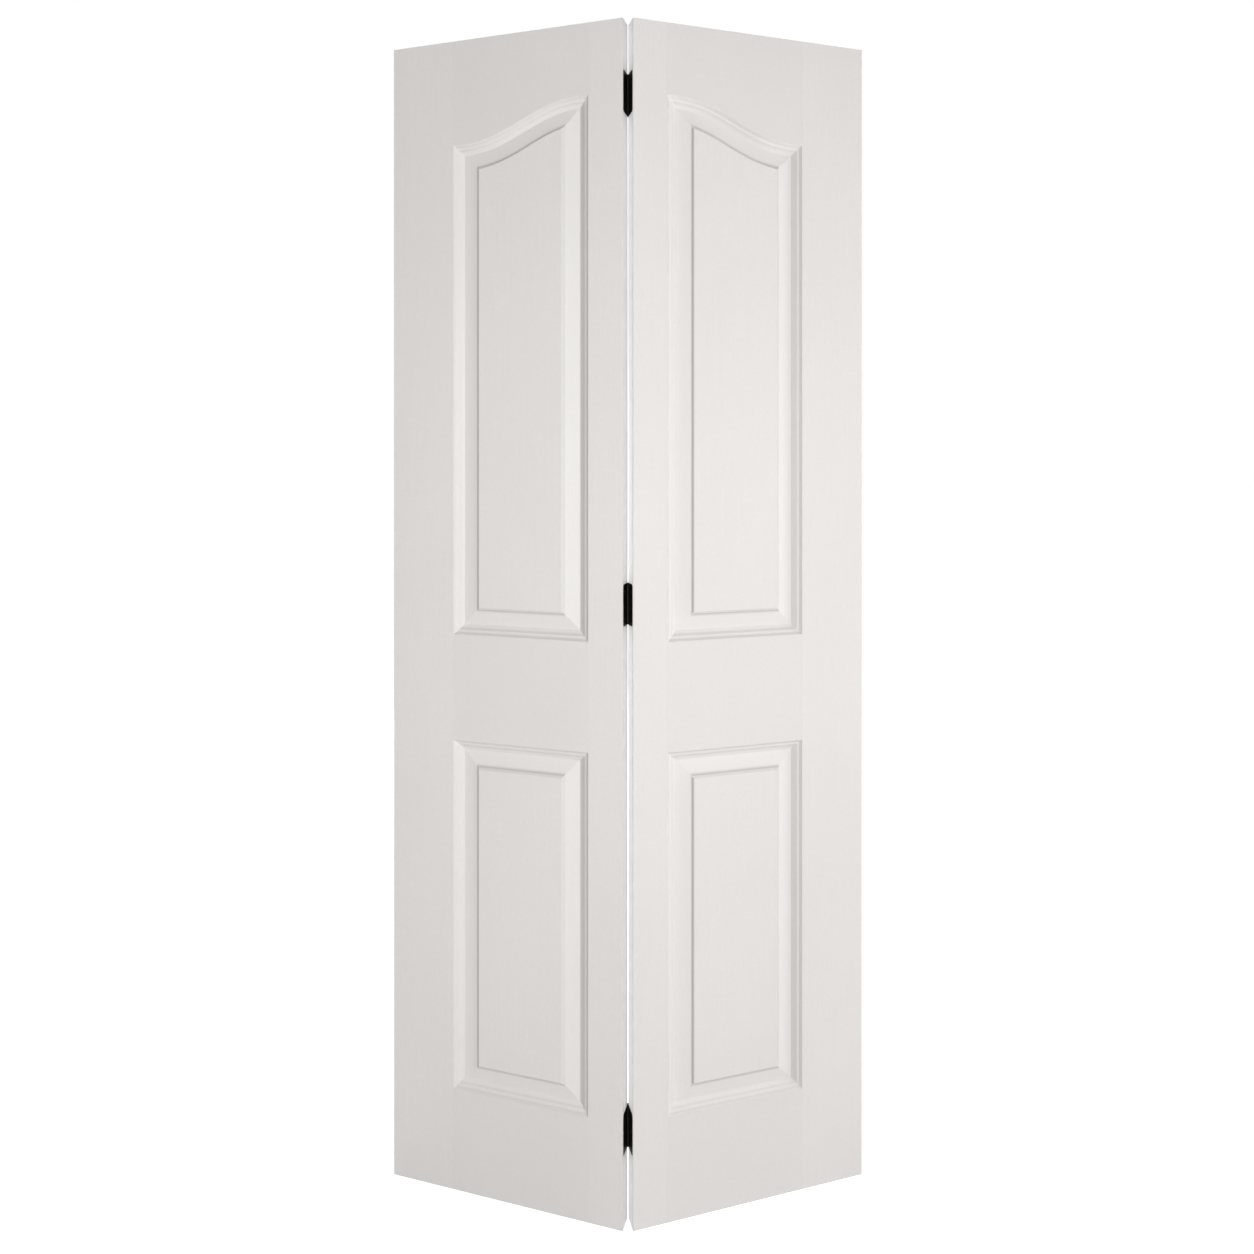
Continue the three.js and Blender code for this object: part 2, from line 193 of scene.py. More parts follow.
def sheet_columns(insets):
    """The grid's columns from meeting edge to outer edge: u, and the inset from a panel's sides."""
    edge = arris_places()
    field = np.linspace(panel_near + insets[-1], panel_far - insets[-1], field_columns)[1:-1]
    u = np.concatenate([
        meeting_edge + np.append(edge, gain_taper),
        panel_near + insets,
        field,
        panel_far - insets[::-1],
        outer_edge - edge[::-1],
    ])
    return u, np.minimum(u - panel_near, panel_far - u)


def sheet_rows(insets):
    """The grid's rows from bottom to top: height, inset from a panel's bottom or top, and 1 where
    the row follows the arch. Rows are in order of their height at the meeting edge."""
    edge = arris_places()
    rungs = np.concatenate([
        np.linspace(lower_panel_bottom, lower_panel_top, lower_rungs)[2:-2],
        np.linspace(upper_panel_bottom, upper_panel_shoulder, upper_rungs)[2:-2],
    ])
    ends = gain_ends()
    last = insets[-1]
    by_mouldings = [
        (ends > bottom + near) & (ends < bottom + far)
        for bottom, near, far in (
            (lower_panel_bottom, 0, last),
            (upper_panel_bottom, 0, last),
            (upper_panel_shoulder + arch_rise, -last, 0),
        )
    ]
    plain = np.concatenate([edge, rungs, ends[~np.any(by_mouldings, axis=0)], leaf_height - edge])
    in_lower = np.minimum(plain - lower_panel_bottom, lower_panel_top - plain)
    in_upper = np.minimum(plain - upper_panel_bottom, upper_panel_shoulder - plain)
    height = np.concatenate([
        plain,
        lower_panel_bottom + insets,
        lower_panel_top - insets,
        upper_panel_bottom + insets,
        upper_panel_shoulder - insets,
    ])
    inset = np.concatenate([np.maximum(in_lower, in_upper), *[insets] * 4])
    arched = np.concatenate([np.zeros(len(plain) + 3 * len(insets)), np.ones(len(insets))])
    order = np.argsort(height + arched * arch_rise, kind="stable")
    return height[order], inset[order], arched[order]


# Painted shade and painted highlight along the section, put into the primer's colour where light
# from the right would leave shade or fall brighter: shares of the painted shade and of the painted
# highlight. On walls that look left, away from that light, one share of painted shade each for the
# face, the quirk's start and end, the fillet's start and end, the cove's start and end, the slope's
# start and end, the step's middle and its end
shade_reach = 0.0018
step_line_share = 1 / 8
level_shade_shares = np.array([0.16, 0.19, 0.50])
away_shade_shares = (0, 0.36, 0.36, 0.08, 0.08, 0.36, 0.36, 0, 0, 0.86, 0)
toward_shade_share = 0.1
level_highlight_share, away_highlight_share, outer_highlight_share = 0.45, 0.3, 0.7


def painted_shade_and_highlight(inset, facing):
    """How much painted shade and painted highlight the primer gets, each from 0 to 1. The painted
    light comes from the sheet's right, so facing, which is 1 on walls that look right, -1 on walls
    that look left and 0 on level ones, blends three patterns of painted shade. Level walls are
    darkened by 1 - |inset - corner| / reach at three inner corners, walls that look right by a share
    of that, and walls that look left by straight lines between shares along the section. Painted
    highlight lies on the slope, and on outer walls that look right."""
    face, quirk, fillet, valley, slope_end, step_end = section_corners()
    quirk_bend = quirk_bend_shares[0] * quirk_width
    corners = np.array([quirk_bend, fillet + shade_reach, slope_end + step_line_share * shade_reach])
    peak = np.clip(1 - np.abs(inset[..., None] - corners) / shade_reach, 0, 1)
    level_shade = (peak * level_shade_shares).max(axis=-1)
    near = pressed_radius
    places = [
        face, face + near, quirk - near, quirk + near, fillet - near, fillet + near, valley - near,
        valley + near, slope_end - near, (slope_end + step_end) / 2, step_end + near,
    ]
    away_shade = np.interp(inset, places, away_shade_shares)
    toward, away = np.clip(facing, 0, 1), np.clip(-facing, 0, 1)
    level = 1 - toward - away
    # Painted shade by which way each wall looks, then painted highlight on the slope and on outer
    # walls that look right
    painted_dark = (level + toward_shade_share * toward) * level_shade + away * away_shade
    on_slope = (inset > valley - near) & (inset < slope_end + near)
    on_outer = (inset > face) & (inset <= valley - near)
    slope_highlight = on_slope * (level_highlight_share * level + toward + away_highlight_share * away)
    return painted_dark, slope_highlight + on_outer * outer_highlight_share * toward


def sheet_surface(notched, rightward):
    """The sheet's face on a grid of rows and columns, as points (u, depth, z). An arched row stands
    at shoulder + rise s(t) - inset sqrt(1 + slope^2), with t from 0 on the panel's outer side to 1
    beside the meeting edge and s(t) = 10 t^3 - 15 t^4 + 6 t^5. The depth follows the moulding at the
    smaller of the two insets, which mitres the corners, a fine groove across the rails at the
    panels' sides, and r - sqrt(r^2 - (r - d)^2) at a distance d from the edge. A notched sheet is
    drawn in along its meeting edge at the gains. Rightward is 1 where u runs to the right of someone
    who looks at the face, and -1 where it runs to the left. The marks say where the grain is
    upright, which is everywhere but on the rails and the level mouldings, and where painted shade
    and painted highlight go on the primer, as light from the right would give them. Each mitre's
    points share a number from 1 to 8, and other points have 0."""
    insets = moulding_insets()
    u, inset_across = sheet_columns(insets)
    height, inset_up, arched = [row[:, None] for row in sheet_rows(insets)]
    width = panel_far - panel_near
    t = np.clip((panel_far - u) / width, 0, 1)
    lift = arch_rise * t**3 * (10 - 15 * t + 6 * t**2)
    climb = arch_rise / width * 30 * t**2 * (1 - t) ** 2
    stretch = np.hypot(1, climb)
    z = height + arched * (lift - inset_up * (stretch - 1))

    inset = np.minimum(inset_across, inset_up)
    on_joint = (np.abs(inset_across) < joint_reach) & (inset_up < 0)
    from_side = np.minimum(u - meeting_edge, outer_edge - u)
    from_end = np.minimum(z, leaf_height - z)
    to_go = arris_radius - np.clip(np.minimum(from_side, from_end), 0, arris_radius)
    depth = moulding_depth(inset) + joint_depth * on_joint
    depth = depth + arris_radius - np.sqrt(arris_radius**2 - to_go**2)

    across = np.broadcast_to(u, z.shape)
    if notched:
        from_centre = np.abs(z[:, :1] - hinge_centres).min(axis=1, keepdims=True)
        gained = from_centre < hinge_height / 2 + gain_clearance
        taper = np.clip(1 - (u - meeting_edge) / gain_taper, 0, 1)
        across = across + gained * gain_depth * taper

    # Which way each wall looks, right or left, and from it the painted shade and the painted
    # highlight (full) for light from the right
    sides = np.where(u < panel_middle, 1, -1)
    inward_u = np.where(inset_across <= inset_up, sides, -arched * climb / stretch)
    valley = section_corners()[3]
    facing = rightward * inward_u * np.where(inset < valley, 1, -1)
    painted_dark, full = painted_shade_and_highlight(inset, facing)
    level = (inset_across > 0) & (inset_up < inset_across) & (inset_up < insets[-2])
    grain_and_painted_light = {"upright_grain": (~level).astype(float), "thin_primer": painted_dark, "full_primer": full}

    mitre = np.isclose(inset_across, inset_up, atol=mitre_tolerance) & (inset_across > 0)
    in_section = mitre & (inset_across < insets[-2])
    in_upper = height > lower_panel_top
    split = np.where(in_upper, upper_panel_bottom, lower_panel_bottom) + corner_split
    number = 1 + (height > split) + 2 * (u > panel_middle) + 4 * in_upper
    return across, depth, z, grain_and_painted_light, number * in_section


def grid_triangles(rows, columns, first_diagonal):
    """Two triangles for each cell of a grid, split along one diagonal or the other."""
    index = np.arange(rows * columns).reshape(rows, columns)
    a, b = index[:-1, :-1].ravel(), index[:-1, 1:].ravel()
    d, c = index[1:, :-1].ravel(), index[1:, 1:].ravel()
    split_ac = np.stack([a, b, c, a, c, d], axis=1)
    split_bd = np.stack([a, b, d, b, c, d], axis=1)
    return np.where(first_diagonal.ravel()[:, None], split_ac, split_bd).reshape(-1, 3)


def new_mesh(name, points, faces):
    """A smooth mesh of triangles or of quads from arrays of points and corner numbers."""
    mesh = bpy.data.meshes.new(name)
    count, size = faces.shape
    mesh.vertices.add(len(points))
    mesh.vertices.foreach_set("co", np.asarray(points, np.float32).ravel())
    mesh.loops.add(count * size)
    mesh.loops.foreach_set("vertex_index", faces.astype(np.int32).ravel())
    mesh.polygons.add(count)
    mesh.polygons.foreach_set("loop_start", np.arange(0, count * size, size, dtype=np.int32))
    mesh.update(calc_edges=True)
    mesh.shade_smooth()
    return mesh


def stand_leaf(points, side):
    """Leaf points (u, v, z) as they stand: x = s (u cos a - v sin a), y = u sin a + v cos a + pin,
    with s = 1 on the right leaf and -1 on the left."""
    u, v, z = np.moveaxis(np.asarray(points, float), -1, 0)
    x = side * (u * turn_cos - v * turn_sin)
    return np.stack([x, u * turn_sin + v * turn_cos + pin_y, z], axis=-1)


def add_piece(name, mesh, body, materials, replaced):
    """A finished piece in the scene: it rides on a body, has a slot and takes the place of nodes."""
    piece = bpy.data.objects.new(name, mesh)
    bpy.context.scene.collection.objects.link(piece)
    for material in materials:
        mesh.materials.append(material)
    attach(piece, body)
    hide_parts(*replaced)
    return piece


def moulded_sheet(name, side, face_plane, inward):
    """A closed sheet: the moulded face, the same surface a sheet's thickness further in, and walls
    round the edge. Inward is 1 for the room side and -1 for the back. With the mesh come each
    face's finish (0 primer, 1 edge primer, 2 bare hardboard) and each point's mitre number."""
    across, depth, z, grain_and_painted_light, number = sheet_surface(inward < 0, side * inward)
    rows, columns = z.shape
    near_half = across[:-1, :-1] < panel_middle
    low = z[:-1, :-1]
    split = np.where(low > lower_panel_top + rail_split, upper_panel_bottom, lower_panel_bottom)
    face = grid_triangles(rows, columns, near_half == (low < split + corner_split))
    count = rows * columns
    index = np.arange(count).reshape(rows, columns)
    rim = np.concatenate([index[0, :-1], index[:-1, -1], index[-1, :0:-1], index[:0:-1, 0]])
    rim_next = np.roll(rim, -1)
    walls = np.concatenate([
        np.stack([rim, rim + count, rim_next + count], axis=1),
        np.stack([rim, rim_next + count, rim_next], axis=1),
    ])
    on_end = np.isin(rim, index[[0, -1]]) & np.isin(rim_next, index[[0, -1]])
    triangles = np.concatenate([face, face[:, ::-1] + count, walls])
    if inward * side < 0:
        triangles = triangles[:, ::-1]
    shell = [
        np.stack([across, face_plane + inward * (depth + shift), z], axis=-1).reshape(-1, 3)
        for shift in (0, sheet_thickness)
    ]
    mesh = new_mesh(name, stand_leaf(np.concatenate(shell), side), triangles)
    # Point values: upright grain, and the painted shade and painted highlight for the primer's
    # colour
    for label, values in grain_and_painted_light.items():
        attribute = mesh.attributes.new(label, "FLOAT", "POINT")
        attribute.data.foreach_set("value", np.tile(values.ravel(), 2))
    finish = np.concatenate([np.zeros(len(face)), np.full(len(face), 2), np.tile(1 + on_end, 2)])
    return mesh, finish.astype(np.int32), np.tile(number.ravel(), 2)


sheet_crease = math.radians(40)


def crease(mesh, number):
    """Sharp edges where faces meet at more than the crease's angle, and along each mitre, whose
    points share a number."""
    mesh.set_sharp_from_angle(angle=sheet_crease)
    count = len(mesh.edges)
    sharp = np.zeros(count, bool)
    mesh.attributes["sharp_edge"].data.foreach_get("value", sharp)
    ends = np.empty(2 * count, np.int32)
    mesh.edges.foreach_get("vertices", ends)
    first, second = number[ends.reshape(-1, 2)].T
    sharp |= (first == second) & (first > 0)
    mesh.attributes["sharp_edge"].data.foreach_set("value", sharp)


def start_material(name):
    """A new material, its node tree and its shader."""
    material = bpy.data.materials.new(name)
    material.use_nodes = True
    tree = material.node_tree
    return material, tree, tree.nodes["Principled BSDF"]


def add_node(tree, kind, settings=None, **inputs):
    """A shader node with its settings, and its inputs as values or as sockets to link from. An
    input is called by its name, or by its number after an underscore."""
    node = tree.nodes.new(kind)
    for key, value in (settings or {}).items():
        setattr(node, key, value)
    for key, value in inputs.items():
        place = int(key[1:]) if key[1:].isdigit() else key.replace("_", " ")
        if isinstance(value, bpy.types.NodeSocket):
            tree.links.new(value, node.inputs[place])
        else:
            node.inputs[place].default_value = value
    return node


def worked_out(tree, operation, *values):
    """The result of a math node on two or three values or sockets."""
    inputs = {f"_{i}": value for i, value in enumerate(values)}
    return add_node(tree, "ShaderNodeMath", {"operation": operation}, **inputs).outputs[0]


def ranged(tree, value, **ends):
    """A value carried over from one range to another, both from 0 to 1 unless an end is given."""
    return add_node(tree, "ShaderNodeMapRange", Value=value, **ends).outputs[0]


def mixed_tone(tree, share, first, second):
    """A colour a share of the way from the first to the second, each a colour or a socket."""
    first, second = [
        tone if isinstance(tone, bpy.types.NodeSocket) else (*tone, 1) for tone in (first, second)
    ]
    settings = {"data_type": "RGBA"}
    return add_node(tree, "ShaderNodeMix", settings, _0=share, _6=first, _7=second).outputs[2]


def spread_tones(tree, value, first, second, low, high):
    """A colour from the first tone to the second as a value goes from low to high."""
    return mixed_tone(tree, ranged(tree, value, From_Min=low, From_Max=high), first, second)


def object_noise(tree, stretch, size, detail):
    """Noise on the piece's own coordinates, stretched by a scale along each axis."""
    place = add_node(tree, "ShaderNodeTexCoord").outputs["Object"]
    stretched = add_node(tree, "ShaderNodeMapping", Vector=place, Scale=stretch).outputs[0]
    noise = add_node(tree, "ShaderNodeTexNoise", Vector=stretched, Scale=size, Detail=detail)
    return noise.outputs["Fac"]


def emboss(tree, shader, height, strength, distance):
    """Fine relief on the shader's surface, as high as a value."""
    bump = add_node(tree, "ShaderNodeBump", Strength=strength, Distance=distance, Height=height)
    tree.links.new(bump.outputs[0], shader.inputs["Normal"])


def point_value(tree, name):
    """One value of a sheet's points, read from them: where the grain is upright, or its painted
    shade or painted highlight.
    """
    return add_node(tree, "ShaderNodeAttribute", {"attribute_name": name}).outputs["Fac"]


primer_grey, primer_white = (0.728, 0.703, 0.682), (0.776, 0.752, 0.733)
# Painted highlight: a whiter tone and how far toward it; painted shade: a brown tone and how far
# toward it
painted_highlight_white, painted_highlight_share = (0.93, 0.92, 0.91), 0.27
painted_shade_brown, painted_shade_share = (0.28, 0.25, 0.215), 0.90
edge_grey, edge_white, edge_roughness = (0.90, 0.90, 0.90), (0.94, 0.94, 0.94), 0.55
hardboard_dark, hardboard_light = (0.22, 0.135, 0.075), (0.36, 0.235, 0.14)
hardboard_roughness = 0.85
pore_share, speckle_share, grain_tone_share = 0.35, 0.12, 0.6


def primed_sheet():
    """White primer over pressed grain: streaks + share * pores, at full strength where the grain is
    upright and faint on the level parts, with slight clouds of tone and sheen, whitened by painted
    highlight and browned by painted shade where the sheet's points carry them."""
    material, tree, shader = start_material("white_primer_with_painted_shade_and_highlight")
    streaks = object_noise(tree, stretch=(1, 1, 0.025), size=300, detail=5)
    pores = object_noise(tree, stretch=(1, 1, 0.05), size=1300, detail=2)
    speckle = object_noise(tree, stretch=(1, 1, 1), size=900, detail=2)
    mottle = object_noise(tree, stretch=(1, 1, 0.7), size=260, detail=4)
    clouds = object_noise(tree, stretch=(1, 1, 0.6), size=5, detail=2)
    strength = ranged(tree, point_value(tree, "upright_grain"), To_Min=0.25, To_Max=1.0)
    both = worked_out(tree, "MULTIPLY_ADD", pores, pore_share, streaks)
    grain = worked_out(tree, "MULTIPLY", both, strength)
    relief = worked_out(tree, "MULTIPLY_ADD", speckle, speckle_share, grain)
    emboss(tree, shader, relief, strength=0.8, distance=0.0002)
    sheen = ranged(tree, streaks, To_Min=0.44, To_Max=0.6)
    tree.links.new(sheen, shader.inputs["Roughness"])
    shade = worked_out(tree, "MULTIPLY_ADD", grain, grain_tone_share, mottle)
    shade = worked_out(tree, "ADD", shade, clouds)
    tone = spread_tones(tree, shade, primer_grey, primer_white, low=0.7, high=1.7)
    # Painted highlight (full) whitens the tone, then painted shade browns it
    full = worked_out(tree, "MULTIPLY", point_value(tree, "full_primer"), painted_highlight_share)
    tone = mixed_tone(tree, full, tone, painted_highlight_white)
    painted_dark = worked_out(tree, "MULTIPLY", point_value(tree, "thin_primer"), painted_shade_share)
    tone = mixed_tone(tree, painted_dark, tone, painted_shade_brown)
    tree.links.new(tone, shader.inputs["Base Color"])
    return material


def primed_edge():
    """The same primer on the leaf's upright edges, brighter and without grain."""
    material, tree, shader = start_material("white_primer_on_edges")
    clouds = object_noise(tree, stretch=(1, 1, 0.3), size=40, detail=3)
    tone = spread_tones(tree, clouds, edge_grey, edge_white, low=0.3, high=0.7)
    tree.links.new(tone, shader.inputs["Base Color"])
    tooth = object_noise(tree, stretch=(1, 1, 0.2), size=600, detail=3)
    emboss(tree, shader, tooth, strength=0.3, distance=0.0001)
    shader.inputs["Roughness"].default_value = edge_roughness
    return material


def raw_hardboard():
    """Brown pressed fibre, seen at the sheets' cut ends and on their inner side."""
    material, tree, shader = start_material("raw_hardboard")
    fibres = object_noise(tree, stretch=(1, 1, 1), size=700, detail=4)
    tone = spread_tones(tree, fibres, hardboard_dark, hardboard_light, low=0.3, high=0.7)
    tree.links.new(tone, shader.inputs["Base Color"])
    emboss(tree, shader, fibres, strength=0.5, distance=0.0002)
    shader.inputs["Roughness"].default_value = hardboard_roughness
    return material


sheet_finishes = (primed_sheet(), primed_edge(), raw_hardboard())
for leaf, side in leaf_sides.items():
    for name, face_plane, inward in (("front", front_face, 1), ("back", back_face, -1)):
        sheet_name = f"{leaf}_{name}_moulded_sheet"
        sheet, finish, number = moulded_sheet(sheet_name, side, face_plane, inward)
        crease(sheet, number)
        skin = f"{leaf}_{name}_skin"
        add_piece(sheet_name, sheet, f"{leaf}_leaf", sheet_finishes, [skin])
        sheet.polygons.foreach_set("material_index", finish)

# Frame inside a leaf
# Planed pine: two stiles, two rails and a block where a knob would be screwed on, glued between the
# sheets. The leaf's two upright edges are primed with the sheets, and its ends are left bare.

paint_film = 0.00005
ring_axis_shift = (0.02, 0.055, 0.1)
fibre_share = 0.5
pine_pale, pine_dark = (0.74, 0.56, 0.33), (0.56, 0.36, 0.17)
pine_roughness = 0.65
primed_pine = (0.95, 0.95, 0.95)


def along_and_across(tree, along_rail):
    """Object coordinates with their last axis along the grain, and u. The grain is upright, or runs
    along the leaf's width. The leaf's own axes are u = |x| cos a + (y - pin) sin a and
    v = (y - pin) cos a - |x| sin a."""
    place = add_node(tree, "ShaderNodeTexCoord").outputs["Object"]
    mirrored = add_node(tree, "ShaderNodeVectorMath", {"operation": "ABSOLUTE"}, _0=place).outputs[0]
    x = add_node(tree, "ShaderNodeSeparateXYZ", _0=mirrored).outputs[0]
    _, y, z = add_node(tree, "ShaderNodeSeparateXYZ", _0=place).outputs
    from_pin = worked_out(tree, "SUBTRACT", y, pin_y)
    flat = add_node(tree, "ShaderNodeCombineXYZ", _0=x, _1=from_pin).outputs[0]
    dot = {"operation": "DOT_PRODUCT"}
    u, v = [
        add_node(tree, "ShaderNodeVectorMath", dot, _0=flat, _1=axis).outputs["Value"]
        for axis in ((turn_cos, turn_sin, 0), (-turn_sin, turn_cos, 0))
    ]
    order = (z, v, u) if along_rail else (u, v, z)
    joined = add_node(tree, "ShaderNodeCombineXYZ", _0=order[0], _1=order[1], _2=order[2])
    return joined.outputs[0], u


def planed_pine(name, along_rail):
    """Growth rings about an axis beside the piece, drawn out along the grain and wandering a little,
    with fine pale fibres over them. A stile's outer faces are primed."""
    material, tree, shader = start_material(name)
    place, u = along_and_across(tree, along_rail)
    ring_place = add_node(
        tree, "ShaderNodeMapping", Vector=place, Location=ring_axis_shift, Scale=(1, 1, 0.04)
    ).outputs[0]
    rings = add_node(
        tree, "ShaderNodeTexWave", {"wave_type": "RINGS", "rings_direction": "Z"},
        Vector=ring_place, Scale=75, Distortion=3, Detail=3, Detail_Scale=0.6,
    ).outputs["Fac"]
    drawn_out = add_node(tree, "ShaderNodeMapping", Vector=place, Scale=(1, 1, 0.03)).outputs[0]
    noise = add_node(tree, "ShaderNodeTexNoise", Vector=drawn_out, Scale=900, Detail=4)
    fibres = noise.outputs["Fac"]
    figure = worked_out(tree, "MULTIPLY_ADD", fibres, fibre_share, rings)
    tone = spread_tones(tree, figure, pine_pale, pine_dark, low=0.25, high=1.35)
    emboss(tree, shader, fibres, strength=0.4, distance=0.0001)
    shader.inputs["Roughness"].default_value = pine_roughness
    before = worked_out(tree, "LESS_THAN", u, meeting_edge + paint_film)
    beyond = worked_out(tree, "GREATER_THAN", u, outer_edge - paint_film)
    primed = worked_out(tree, "MAXIMUM", before, beyond)
    tree.links.new(mixed_tone(tree, primed, tone, primed_pine), shader.inputs["Base Color"])
    return material


def dress_nodes(names, material):
    """Nodes of the frame that stay as they are and only get a material."""
    for name in names:
        mesh = frame["nodes"][name].data
        mesh.materials.clear()
        mesh.materials.append(material)


upright_pine = planed_pine("pine_upright", False)
level_pine = planed_pine("pine_level", True)
for leaf in leaf_sides:
    dress_nodes([f"{leaf}_hinge_stile", f"{leaf}_outer_stile"], upright_pine)
    dress_nodes([f"{leaf}_bottom_rail", f"{leaf}_top_rail", f"{leaf}_lock_block"], level_pine)

# Core strips
# Strips of kraft board, creased and folded to and fro on edge between the sheets to hold them
# apart. Plain brown, with the board's fibres showing.

kraft_dark, kraft_light, kraft_roughness = (0.36, 0.24, 0.12), (0.52, 0.37, 0.21), 0.92
blotch_share = 0.5


def kraft_board():
    """Unbleached board: fibres + share * blotches, from dark brown to light."""
    material, tree, shader = start_material("kraft_board")
    fibres = object_noise(tree, stretch=(1, 1, 1), size=800, detail=5)
    blotches = object_noise(tree, stretch=(1, 1, 1), size=60, detail=2)
    mixed = worked_out(tree, "MULTIPLY_ADD", blotches, blotch_share, fibres)
    tone = spread_tones(tree, mixed, kraft_dark, kraft_light, low=0.5, high=1.0)
    tree.links.new(tone, shader.inputs["Base Color"])
    emboss(tree, shader, mixed, strength=0.5, distance=0.0002)
    shader.inputs["Roughness"].default_value = kraft_roughness
    return material


kraft = kraft_board()
core_zones = ("bottom", "lower", "middle", "upper", "top")
for leaf in leaf_sides:
    dress_nodes([f"{leaf}_{zone}_core_strip" for zone in core_zones], kraft)

# Hinges
# Three butt hinges of pressed steel, baked satin black. Each plate lies in its gain in the stile's
# edge and is rolled into knuckles round a fast pin, and three countersunk screws hold it.

plate_low, plate_high = leaf_box("middle_hinge_right_plate")
plate_reach = -plate_low[1]
knuckle_radius = plate_high[1]
plate_thickness = knuckle_radius - meeting_edge
plate_corner_radius = 0.005
knuckle_count = 5
knuckle_gap = 0.0004
knuckle_clearance = 0.0003
pin_radius = 0.0013
pin_clearance = 0.0001
pin_chamfer = 0.0004
screw_count = 3
screw_head_radius = 0.0033
screw_shank_radius = 0.00175
screw_rim_height = 0.0003
rim_chamfer_parts = 3
screw_head_depth = 0.0024
screw_tip_length = 0.004
head_clearance = 0.0001
recess_arm, recess_width, recess_depth = 0.0036, 0.00095, 0.0014
recess_floor_share = 0.45
knuckle_steps, screw_steps, pin_steps, corner_steps = 64, 48, 32, 13
cut_overrun = 0.001
along_leaf = (2, 0, 1)
metal_crease = math.radians(30)
black_smoother, black_rougher = 0.08, 0.1


def turned(profile, steps):
    """A closed round solid from (radius, height) points that start and end on the axis: rings
    r cos f, r sin f, with a point for each end."""
    radius, height = np.array(profile[1:-1], float).T
    turn = np.arange(steps) * 2 * math.pi / steps
    rings = np.stack([
        radius[:, None] * np.cos(turn),
        radius[:, None] * np.sin(turn),
        np.broadcast_to(height[:, None], (len(height), steps)),
    ], axis=-1).reshape(-1, 3)
    points = np.concatenate([rings, [(0, 0, profile[0][1]), (0, 0, profile[-1][1])]])
    index = np.arange(len(rings)).reshape(len(height), steps)
    onward = np.roll(index, -1, axis=1)
    a, b, c, d = index[:-1], onward[:-1], onward[1:], index[1:]
    lower_halves = np.stack([a, b, c], -1).reshape(-1, 3)
    upper_halves = np.stack([a, c, d], -1).reshape(-1, 3)
    low, high = len(rings), len(rings) + 1
    foot = np.stack([np.full(steps, low), onward[0], index[0]], -1)
    top = np.stack([np.full(steps, high), index[-1], onward[-1]], -1)
    return points, np.concatenate([lower_halves, upper_halves, foot, top])


def prism(outline, low, high, top_share=1.0):
    """A straight solid over a convex or star-shaped outline about its middle, its top drawn in."""
    outline = np.array(outline, float)
    middle = outline.mean(axis=0)
    count = len(outline)
    rings = [
        np.column_stack([middle + share * (outline - middle), np.full(count, height)])
        for share, height in ((1, low), (top_share, high))
    ]
    points = np.concatenate([*rings, [(*middle, low), (*middle, high)]])
    index = np.arange(count)
    onward = np.roll(index, -1)
    foot, top = np.full(count, 2 * count), np.full(count, 2 * count + 1)
    return points, np.concatenate([
        np.stack([index, onward, onward + count], -1),
        np.stack([index, onward + count, index + count], -1),
        np.stack([foot, onward, index], -1),
        np.stack([top, index + count, onward + count], -1),
    ])


def blank_solid(solid, shift=(0, 0, 0), axes=(0, 1, 2)):
    """A solid to join or cut with, its axes put in another order (always an even swap) and moved."""
    points, faces = solid
    mesh = new_mesh("blank_solid", points[:, axes] + np.array(shift), faces)
    piece = bpy.data.objects.new("blank_solid", mesh)
    bpy.context.scene.collection.objects.link(piece)
    return piece


def carved(blank, joined, removed):
    """The blank with other solids joined to it and then some cut away, as points and faces."""
    for tools, operation in ((joined, "UNION"), (removed, "DIFFERENCE")):
        for tool in tools:
            modifier = blank.modifiers.new("carve", "BOOLEAN")
            modifier.object = tool
            modifier.operation = operation
            modifier.solver = "EXACT"
    depsgraph = bpy.context.evaluated_depsgraph_get()
    mesh = bpy.data.meshes.new_from_object(blank.evaluated_get(depsgraph))
    mesh.calc_loop_triangles()
    points = np.empty(3 * len(mesh.vertices), np.float32)
    mesh.vertices.foreach_get("co", points)
    corners = np.empty(3 * len(mesh.loop_triangles), np.int32)
    mesh.loop_triangles.foreach_get("vertices", corners)
    for piece in (blank, *joined, *removed):
        bpy.data.objects.remove(piece)
    return points.reshape(-1, 3).astype(float), corners.reshape(-1, 3)


def plate_outline():
    """The plate's face, upright in (v, z): square beside the knuckles, and at its far edge round
    corners r cos f, r sin f."""
    half = hinge_height / 2
    turn = np.linspace(math.pi / 2, math.pi, corner_steps)
    v = plate_corner_radius - plate_reach + plate_corner_radius * np.cos(turn)
    z = half - plate_corner_radius + plate_corner_radius * np.sin(turn)
    far = np.concatenate([np.stack([v, z], -1), np.stack([v, -z], -1)[::-1]])
    return np.concatenate([far, [(back_face, -half), (back_face, half)]])


def screw_places():
    """Each screw's (v, z) on its plate, from the middle hinge's screws in the frame."""
    boxes = [leaf_box(f"middle_hinge_right_screw_{i + 1}") for i in range(screw_count)]
    middle_hinge = hinge_centres[1]
    return [((low[1] + high[1]) / 2, (low[2] + high[2]) / 2 - middle_hinge) for low, high in boxes]


def plain_rod(radius, low, high, steps):
    """A round rod about the pin's axis, from one height to another."""
    return blank_solid(turned([(0, low), (radius, low), (radius, high), (0, high)], steps))


